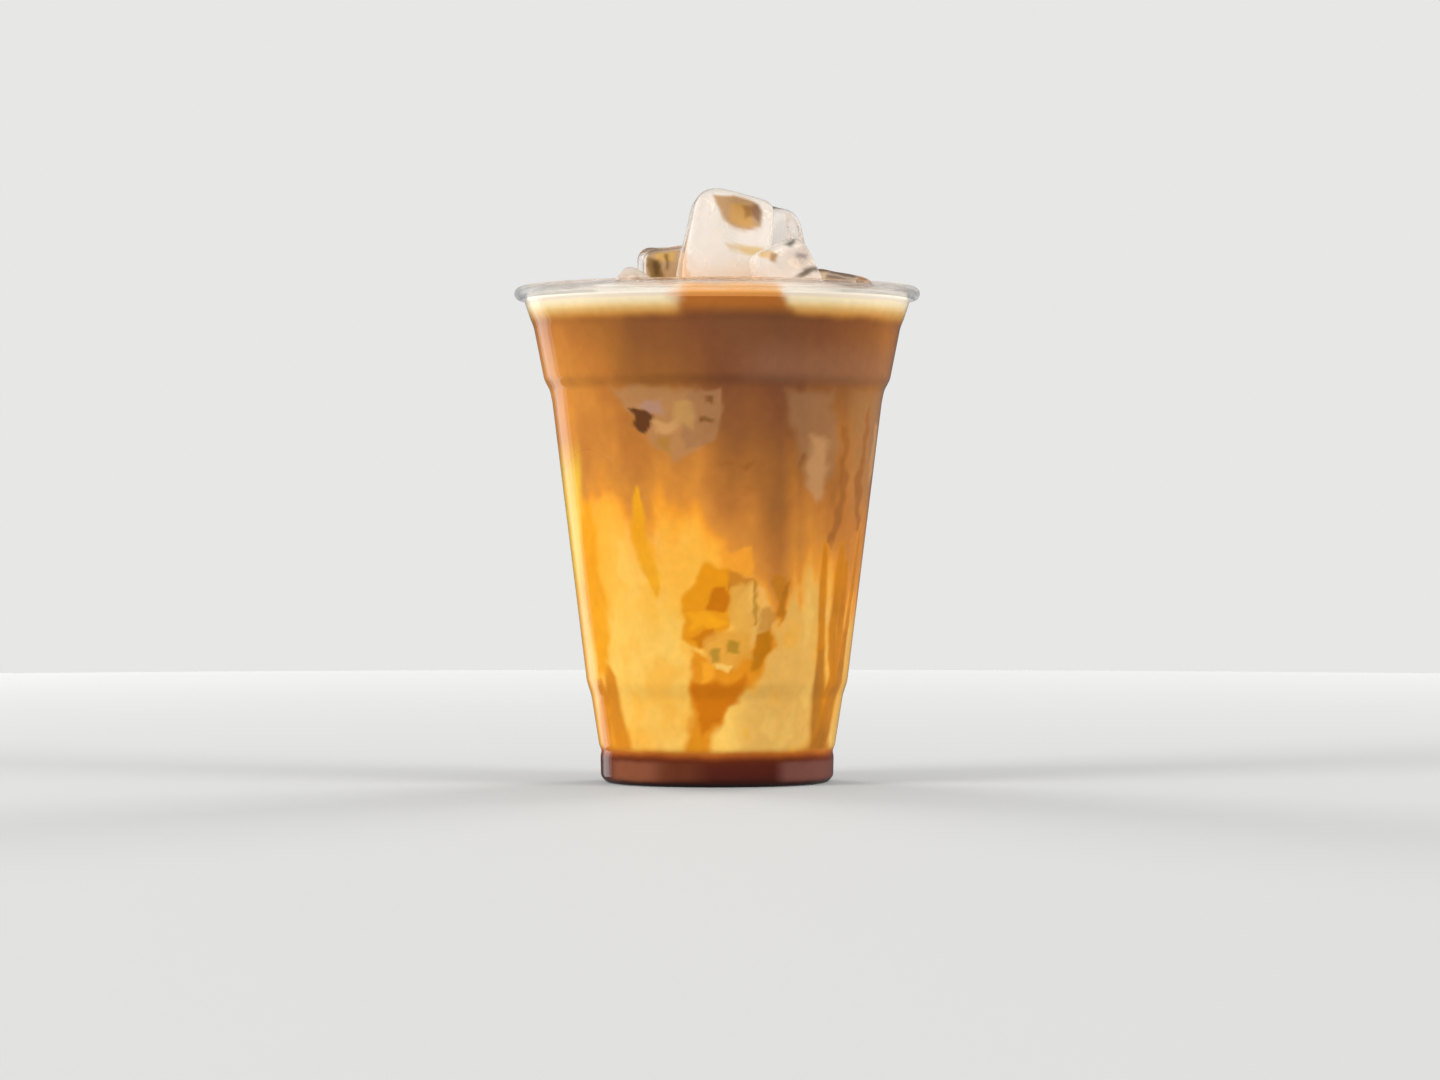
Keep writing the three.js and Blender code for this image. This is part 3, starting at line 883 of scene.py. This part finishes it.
# %% Places on the wall
SHADES = [
    (-60, "F9BB50"), (-46, "F8BF54"), (-33, "F9C55C"), (-22, "F8BA48"), (-9, "F9B644"), (-3, "F9A935"),
    (0, "F09A2C"), (3, "DC8C32"), (7, "CE8434"),
    (14, "BC7430"), (22, "A6672C"), (32, "8E562B"), (44, "7F4A2B"), (60, "784A2C"),
]
FRONT_BORDER = [
    (-38, 68), (-24, 67), (-19, 62), (-12, 65), (-4.5, 63), (-2, 57), (3, 51), (8, 52), (12, 46), (15, 39),
    (17, 43), (18.2, 45), (19.5, 42), (21.7, 49), (24, 45), (30, 43), (38, 41),
]
RUN_SHADES = [(0, "F0A81C"), (0.3, "EE9C16"), (0.6, "D98310"), (0.85, "BE7312"), (1, "A5661E")]
RUNS = [
    (0.25, 0.5, [(68, -31.0, 0.5), (62, -30.2, 1.3), (55, -29.6, 1.6), (48, -29.9, 1.7), (44, -29.6, 1.3),
                 (39, -29.5, 0.9), (34, -28.0, 1.1), (30, -26.9, 1.2)]),
    (0.65, 0.3, [(29, -26.4, 0.8), (26, -25.2, 1.3), (21, -24.6, 1.6), (16, -23.8, 1.8), (12, -22.9, 2.0),
                 (8, -22.2, 2.4)]),
    (0.1, 0.6, [(71, -19.0, 0.4), (66, -18.4, 1.1), (60, -18.0, 1.7), (54, -16.4, 1.7), (49, -14.8, 1.1),
                (45, -13.8, 0.5)]),
    (0.86, 0.25, [(49, 17.0, 0.4), (44, 15.4, 0.9), (40, 14.6, 1.0)]),
    (0.78, 0.15, [(58, 25.6, 0.4), (52, 25.2, 0.8), (44, 24.8, 0.9), (36, 24.6, 0.8), (32, 24.4, 1.0)]),
    (0.92, 0.2, [(33, 24.5, 0.8), (26, 24.2, 1.2), (21, 24.0, 1.6), (14, 23.8, 1.8), (8, 24.4, 2.2)]),
    (0.82, 0.15, [(54, 30.8, 0.4), (48, 30.0, 0.9), (40, 29.4, 0.8), (34, 28.8, 0.8), (27, 27.6, 0.8),
                  (23, 26.4, 0.9), (20, 25.4, 0.8)]),
]
PANES = [
    ("B48252", 0.75, 1.2, [(-24.8, 94.2), (-6.0, 94.2), (-4.0, 80.0), (-9.0, 76.8), (-14.6, 80.6),
                           (-20.4, 88.4)]),
    ("A47349", 0.85, 0.4, [(-7.0, 93.8), (0.7, 94.0), (0.9, 84.0), (-3.0, 80.4), (-8.0, 80.0)]),
    ("AE8470", 0.85, 0.7, [(-18.2, 91.0), (-13.2, 91.2), (-13.0, 87.8), (-16.6, 87.4)]),
    ("5C3216", 0.95, 0.45, [(-20.3, 90.3), (-18.0, 89.4), (-14.4, 86.8), (-16.5, 83.3), (-19.4, 85.8)]),
    ("CF9860", 0.80, 0.6, [(-15.6, 85.4), (-8.4, 86.8), (-8.8, 84.4), (-14.2, 83.4)]),
    ("BE8F50", 0.75, 0.8, [(-10.6, 90.6), (-5.8, 90.8), (-5.6, 84.6), (-9.6, 85.0)]),
    ("AE7A2A", 0.70, 0.7, [(-13.6, 82.6), (-10.6, 83.0), (-11.4, 78.8), (-13.2, 79.4)]),
    ("75491F", 0.85, 0.45, [(-3.2, 92.4), (-1.2, 92.4), (-1.2, 91.0), (-3.0, 91.0)]),
    ("7C4F1E", 0.90, 0.45, [(-4.4, 87.4), (-0.4, 87.0), (-0.6, 85.7), (-4.0, 85.9)]),
    ("9A5A24", 0.85, 0.5, [(1.6, 76.4), (6.0, 74.6), (8.8, 77.0), (8.2, 77.8), (5.4, 76.0)]),
    ("9C6E48", 0.75, 1.4, [(16.6, 93.4), (27.0, 93.4), (28.4, 82.0), (26.8, 73.0), (21.6, 72.0),
                           (18.6, 80.0)]),
    ("C28E5C", 0.85, 0.9, [(22.4, 82.8), (26.2, 82.4), (25.0, 69.4), (23.2, 67.8), (21.6, 71.2),
                           (21.2, 76.6)]),
    ("8E5828", 0.85, 0.4, [(19.8, 79.2), (20.9, 79.2), (20.9, 75.6), (19.9, 75.6)]),
    ("9A5D28", 0.85, 0.45, [(29.4, 86.0), (30.9, 85.0), (30.6, 69.0), (28.4, 60.0), (27.0, 57.0),
                            (26.2, 58.0), (28.0, 65.0), (29.2, 72.0)]),
    ("F09C2C", 0.90, 0.5, [(0.6, 55.8), (8.2, 56.6), (8.6, 50.2), (3.0, 50.4)]),
    ("E3900A", 0.95, 0.6, [(-3.4, 53.4), (2.6, 51.4), (4.0, 44.0), (2.8, 38.0), (-3.2, 33.4), (-8.2, 35.2),
                           (-8.0, 44.0), (-5.6, 48.8)]),
    ("C46F04", 0.95, 0.45, [(-1.4, 47.2), (1.4, 47.6), (3.4, 44.4), (2.0, 41.8), (-2.6, 41.6)]),
    ("C87405", 0.90, 0.45, [(-6.0, 36.4), (-1.0, 37.2), (-0.8, 35.0), (-4.2, 33.4)]),
    ("F2A216", 0.80, 0.5, [(-7.4, 41.2), (-1.2, 41.0), (2.6, 38.8), (-0.4, 37.4), (-6.2, 38.0)]),
    ("C47A1C", 0.90, 0.5, [(2.2, 50.8), (8.8, 49.8), (6.4, 46.4), (4.0, 44.2), (2.6, 46.8)]),
    ("E08A12", 0.95, 0.8, [(-6.0, 33.4), (-2.8, 31.0), (0.2, 28.6), (7.0, 31.6), (12.6, 38.4), (13.6, 33.4),
                           (8.8, 24.6), (3.2, 19.4), (-0.6, 12.6), (-2.6, 8.2), (-7.4, 8.2), (-6.4, 17.0)]),
    ("CC7004", 0.90, 0.8, [(-5.6, 25.0), (2.4, 24.4), (7.6, 27.2), (5.0, 20.8), (-0.2, 15.4), (-3.4, 11.4),
                           (-5.2, 16.0)]),
    ("BA7208", 0.90, 0.5, [(8.2, 30.2), (9.6, 36.2), (12.8, 37.2), (12.2, 31.8), (9.0, 27.4)]),
    ("F4A327", 0.85, 0.6, [(-3.8, 29.6), (-0.2, 29.6), (-0.4, 25.6), (-3.8, 25.2)]),
    ("E3A645", 0.85, 0.7, [(3.6, 47.4), (6.6, 48.8), (8.6, 42.0), (8.8, 36.4), (4.4, 36.0), (2.4, 40.4)]),
    ("B1771F", 0.80, 0.3, [(8.4, 49.4), (9.2, 49.4), (9.3, 38.4), (8.6, 38.4)]),
    ("EDB058", 0.85, 0.4, [(9.6, 47.8), (11.4, 46.6), (12.2, 41.6), (10.2, 41.6)]),
    ("C88A3A", 0.85, 0.5, [(9.6, 41.6), (13.2, 41.8), (12.8, 36.8), (9.8, 36.8)]),
    ("C07718", 0.85, 0.35, [(13.0, 50.6), (16.6, 50.6), (15.6, 41.4), (14.9, 38.0), (14.3, 41.4)]),
    ("E09C38", 0.85, 0.7, [(-3.4, 35.2), (2.0, 37.2), (8.0, 36.2), (8.6, 31.0), (4.2, 28.4), (-2.6, 29.6)]),
    ("AE8222", 0.90, 0.4, [(2.2, 34.8), (5.6, 34.8), (5.4, 31.2), (2.6, 31.4)]),
    ("B2862A", 0.90, 0.4, [(-1.8, 32.4), (0.8, 32.4), (0.8, 29.8), (-1.4, 29.8)]),
    ("F5C462", 0.90, 0.35, [(-0.4, 29.2), (3.2, 29.4), (2.6, 27.6), (0.0, 27.8)]),
]
SYRUP_SHADES = [
    (0.3, "2C150F"), (1.0, "40180F"), (3, "4C1A10"), (5, "511C0F"), (6.2, "5A220B"), (7.0, "7C3A12"),
    (7.7, "A6571B"), (8.5, "CC7422"), (9.2, "D88A30"),
]
# Painted highlights: lighter patches on the dark band at the foot, left and right of the front, where lamps
# to the sides would be mirrored. Each is a colour, its cover, and where it starts and ends across, in mm.
SYRUP_HIGHLIGHTS = [("8C5035", 0.85, -25, -13), ("6E3820", 0.6, -13, -4), ("784A40", 0.85, 15, 28)]
SIDES = [(0, 1, 0.0), (118, -1, 4.0), (240, -1, -3.5)]
FOAM_SHADES = [
    (0, "F8E6BE"), (0.9, "F3D296"), (1.8, "E2B26C"), (2.8, "D3974C"), (3.8, "C37F38"), (5, "B5702F"),
]


def ice_distance(points, wanted):
    """Distance in mm from each wanted point to the nearest ice, and a large number for the others."""
    away = np.full(len(points), 99.0)
    for index in np.flatnonzero(wanted > 0):
        away[index] = ice_tree.find_nearest(Vector(points[index] * MM))[3] / MM
    return away


def border_height(x, y):
    """Height in mm at which gold turns to brown, at the wall."""
    front = np.interp(x, *np.array(FRONT_BORDER, float).T)
    return front + (milk_top(x, y) - front) * ease(-14, 6, y)


def brown_window(points, under):
    """1 in front of the middle, where no cream hides the brown drink. It leans to the right as it sinks."""
    x, y, z = points.T
    ragged = fractal(points, 7, seed=2, stretch=(1, 1, 1.5)) + 0.45 * fractal(points, 2.6, seed=3, octaves=2)
    edge = x + 3 * ragged
    return ease(-12.5, -6, edge) * (1 - ease(13.5, 19.5, edge - 0.6 * under)) * (y < 0)


def drink_colours(points):
    """The colours of the three layers at the wall, and of the coffee on top."""
    x, y, z = points.T
    tongues = fractal(points, 9, seed=1, stretch=(1, 1, 2.6))
    mid = fractal(points, 7, seed=2, stretch=(1, 1, 1.5))
    fine = fractal(points, 2.6, seed=3, octaves=2)
    bend = 1.1 * fractal(points, 4.5, seed=5, octaves=2) + 0.3 * fine
    sag = 1.3 * fractal(points, 4.5, seed=6, octaves=2) + 0.3 * fine
    left = 26 * np.clip(-x / 38, 0, 1) ** 1.2 * ease(70, 105, z)
    right = 42 * np.clip(x / 40, 0, 1) ** 1.7 * np.clip((z - 40) / 67, 0, 1)
    calm = 1 - 0.6 * ease(88, 100, z)
    above = z - border_height(x, y) - left - right + calm * (6 * tongues + 3 * mid + 0.7 * fine)
    colours = shade(SHADES, above)
    gold = 1 - ease(-4, 3, above)
    lay(colours, 0.85 * gold * ease(1, 9, x), "E4AE57")
    lay(colours, 0.6 * gold * ease(22, 29, -x), "FBAA2E")
    lay(colours, 0.3 * gold * ease(0.1, 0.5, mid), "FCCF6C")
    lay(colours, 0.45 * gold * ease(0.1, 0.5, -mid), "F6AC34")
    front = 1 - ease(2, 12, y)
    lay(colours, 0.6 * front * ease(29, 34, x) * ease(60, 72, z) * (1 - ease(92, 96, z)), "9C7044")
    # Painted highlight: yellow on the leftmost few mm of the front, under the mirrored streak, which is
    # partly this paint and partly the mirrored strip.
    lay(colours, 0.75 * front * ease(31.4, 33.2, -x) * ease(42, 52, z) * (1 - ease(72, 84, z)), "F2C63C")
    lay(colours, 0.55 * front * ease(0, 14, x) * ease(94, 97, z) * (1 - ease(99, 108, z)), "96664A")

    for facing, mirror, lift in SIDES:
        turn = math.radians(facing)
        toward = x * math.sin(turn) - y * math.cos(turn)
        here = ease(4, 10, toward)
        across = mirror * (x * math.cos(turn) + y * math.sin(turn))
        height = z - lift * ease(14, 24, z)
        for code, cover, soft, corners in PANES:
            share = in_outline(across + bend, height + sag, corners, soft)
            lay(colours, cover * share * here, code)
        for tone, wander, line in RUNS:
            share = on_line(across + wander * (mid + 0.5 * fine), height, line) * here
            lay(colours, 0.92 * share, shade(RUN_SHADES, tone * (0.7 + 0.3 * share) + 0.12 * mid))

    under = DRINK_LEVEL - z
    inside_wall = wall_radius(np.minimum(z, DRINK_LEVEL)) - np.hypot(x, y)
    wall = 1 - ease(0.8, 2.2, inside_wall)
    centre = brown_window(points, under) * wall
    lay(colours, 0.8 * (1 - ease(0.5, 4.5, under)), "BE6F28")
    lay(colours, (1 - ease(2.4, 5, under + 0.5 * mid)) * (1 - centre), shade(FOAM_SHADES, under))
    swirl = fractal(points, 16, seed=11, stretch=(1, 1.8, 1))
    top = ease(0.2, 0.9, inside_wall) * (under < 1)
    lay(colours, top, shade([(-0.5, "A56A38"), (0, "BC8046"), (0.5, "D8A263")], swirl + 0.3 * fine))
    at_wall = 1 - ease(1.5, 6, inside_wall + 4 * mid)
    at_ice = 1 - ease(0.3, 3, ice_distance(points, top) + 2 * mid)
    froth = shade([(-0.4, "D3AC78"), (0.4, "E6CEA4")], fine)
    lay(colours, 0.9 * top * np.maximum(at_wall, at_ice), froth)
    lay_syrup(colours, points)
    return colours


def lay_syrup(colours, points):
    """Lays dark syrup over the foot of the wall, with a glow where milk has thinned it and painted
    highlights.
    """
    x, y, z = points.T
    height = z + 0.25 * fractal(points, 6, seed=8)
    syrup = shade(SYRUP_SHADES, height)
    # Painted highlights, laid on the dark band from about 1 to 6.6 mm up.
    band = ease(0.8, 1.6, height) * (1 - ease(5.2, 6.6, height))
    for code, cover, start, end in SYRUP_HIGHLIGHTS:
        lay(syrup, cover * band * ease(start - 2, start + 2, x) * (1 - ease(end - 4, end + 4, x)), code)
    lay(colours, 1 - ease(7.9, 9.3, height), syrup)


for mesh in (milk_mesh, coffee_mesh):
    keep_colours(mesh, drink_colours(places_of(mesh)))
print("painted", milk_mesh.name, "and", coffee_mesh.name)

# %% [markdown]
# ## Milky coffee
# Milk is a fog of fat droplets, so a milky drink is opaque a millimetre in. Behind the wall it has no
# gloss of its own, because plastic and drink bend light almost alike. Its open surface does shine, so
# the faces on top have a second material.

# %% Milk and coffee
GRAIN_SIZE = 2.5
GRAIN_DEPTH = 0.1


def painted(name, roughness, specular):
    """A matt or shiny liquid that takes its colours from the mesh, made a little uneven by fine noise."""
    material, tree, output = new_material(name)
    paint_read = add(tree, "ShaderNodeVertexColor", layer_name="paint").outputs["Color"]
    place = add(tree, "ShaderNodeTexCoord").outputs["Object"]
    grain = add(tree, "ShaderNodeTexNoise", {"Vector": place, "Scale": 1 / (GRAIN_SIZE * MM), "Detail": 3.0})
    tone = add(tree, "ShaderNodeMapRange", {
        "Value": grain.outputs[0], "To Min": 1 - GRAIN_DEPTH, "To Max": 1 + GRAIN_DEPTH,
    })
    uneven = add(tree, "ShaderNodeVectorMath", {0: paint_read, "Scale": tone.outputs[0]}, operation="SCALE")
    shader = add(tree, "ShaderNodeBsdfPrincipled", {
        "Base Color": uneven.outputs[0], "Roughness": roughness, "Specular IOR Level": specular,
    })
    tree.links.new(shader.outputs["BSDF"], output.inputs["Surface"])
    return material


behind_wall = painted("milky iced coffee behind the wall", 0.5, 0.0)
open_surface = painted("milky iced coffee, open surface", 0.2, 0.5)
milk = new_object("golden_milk", milk_mesh, behind_wall)
coffee = new_object("milky_coffee", coffee_mesh, behind_wall)
coffee.data.materials.append(open_surface)
for piece, node in ((milk, "milk_layer"), (coffee, "coffee_layer")):
    outwards(piece.data)
    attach(piece, "root")
    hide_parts(node)
for face in coffee.data.polygons:
    if face.normal.z > 0.5 and face.center.z > (DRINK_LEVEL - 0.2) * MM:
        face.material_index = 1
print("made", behind_wall.name, "and", open_surface.name)

# %% [markdown]
# ## Film of foam above the drink
# Iced drinks are stirred or shaken, and slopping leaves a thin film of milky foam on the wall above the
# level. It is far too thin for a solid of its own in the imported model. It is laid out in rings, as the
# layers are: a thin closed band that starts in the wall and fades towards its top. Its inner face is
# painted darker, a painted shade, because the lamps light it straight and not through the wall.

# %% The film
FILM_TOP = 118.6
FILM_THICK = 0.15
FILM_ROWS = 26
FILM_INNER_SHADE = 0.68
FILM_COVER = 0.85
FILM_COLOURS = [(0, "F8E3C2"), (1.5, "F6E9D6"), (4, "F3EAE0")]
FILM_BROWN = [(0, "D98A3C"), (2, "EFA95E"), (4, "F3C58C")]

film_line = moved_inwards(outside, WALL - 0.05)
film_wall = film_line[film_line[:, 0] > FLOOR_END]
heights = np.linspace(DRINK_LEVEL - 0.3, FILM_TOP, FILM_ROWS)
film_radius = np.interp(heights, film_wall[:, 1], film_wall[:, 0])
outer_rows = [ring(radius, height) for radius, height in zip(film_radius, heights)]
inner_rows = [ring(radius - FILM_THICK, height) for radius, height in zip(film_radius, heights)]
loop = outer_rows + inner_rows[::-1]
at = np.arange(len(loop) * COLUMNS).reshape(len(loop), COLUMNS)
above, after = np.roll(at, -1, axis=0), np.roll(at, -1, axis=1)
quads = np.stack([at, after, np.roll(above, -1, axis=1), above], axis=-1).reshape(-1, 4)
film_mesh = bpy.data.meshes.new("foam film")
film_mesh.from_pydata((np.vstack(loop) * MM).tolist(), [], quads.tolist())

points = places_of(film_mesh)
x, y, z = points.T
over_level = z - DRINK_LEVEL
lumps = fractal(points, 12, seed=21, stretch=(1, 1, 0.5))
colours = shade(FILM_COLOURS, over_level)
middle = brown_window(points, -over_level)
lay(colours, middle, shade(FILM_BROWN, over_level))
# Painted shade: the colours of the inner face, the second half of the points, are made darker.
colours[len(colours) // 2:] *= FILM_INNER_SHADE
keep_colours(film_mesh, colours)
keep_number(film_mesh, "cover", FILM_COVER * (1 - ease(2.2, 4.0, over_level + 0.6 * lumps)))
film_material, tree, output = new_material("thin film of milk foam")
paint_read = add(tree, "ShaderNodeVertexColor", layer_name="paint").outputs["Color"]
cover = add(tree, "ShaderNodeAttribute", attribute_name="cover").outputs["Fac"]
shader = add(tree, "ShaderNodeBsdfPrincipled", {
    "Base Color": paint_read, "Roughness": 0.5, "Specular IOR Level": 0.0, "Alpha": cover,
})
tree.links.new(shader.outputs["BSDF"], output.inputs["Surface"])
film = new_object("foam_film", film_mesh, film_material)
outwards(film.data)
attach(film, "root")
print("film faces:", len(film.data.polygons))

# %% [markdown]
# ## Caramel syrup
# Syrup is dense and dark. Towards its top, where milk has thinned it, it lets light through and turns
# from near black over red brown to orange, which draws the bright line over the dark band at the foot.
# Its colours come from the same function as the milk's, so the two meet without a step.

# %% Dark caramel
keep_colours(caramel_mesh, drink_colours(places_of(caramel_mesh)))
syrup = painted("salted caramel syrup", 0.5, 0.0)
caramel = new_object("caramel_syrup", caramel_mesh, syrup)
outwards(caramel.data)
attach(caramel, "root")
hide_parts("caramel_layer")
print("made", syrup.name)
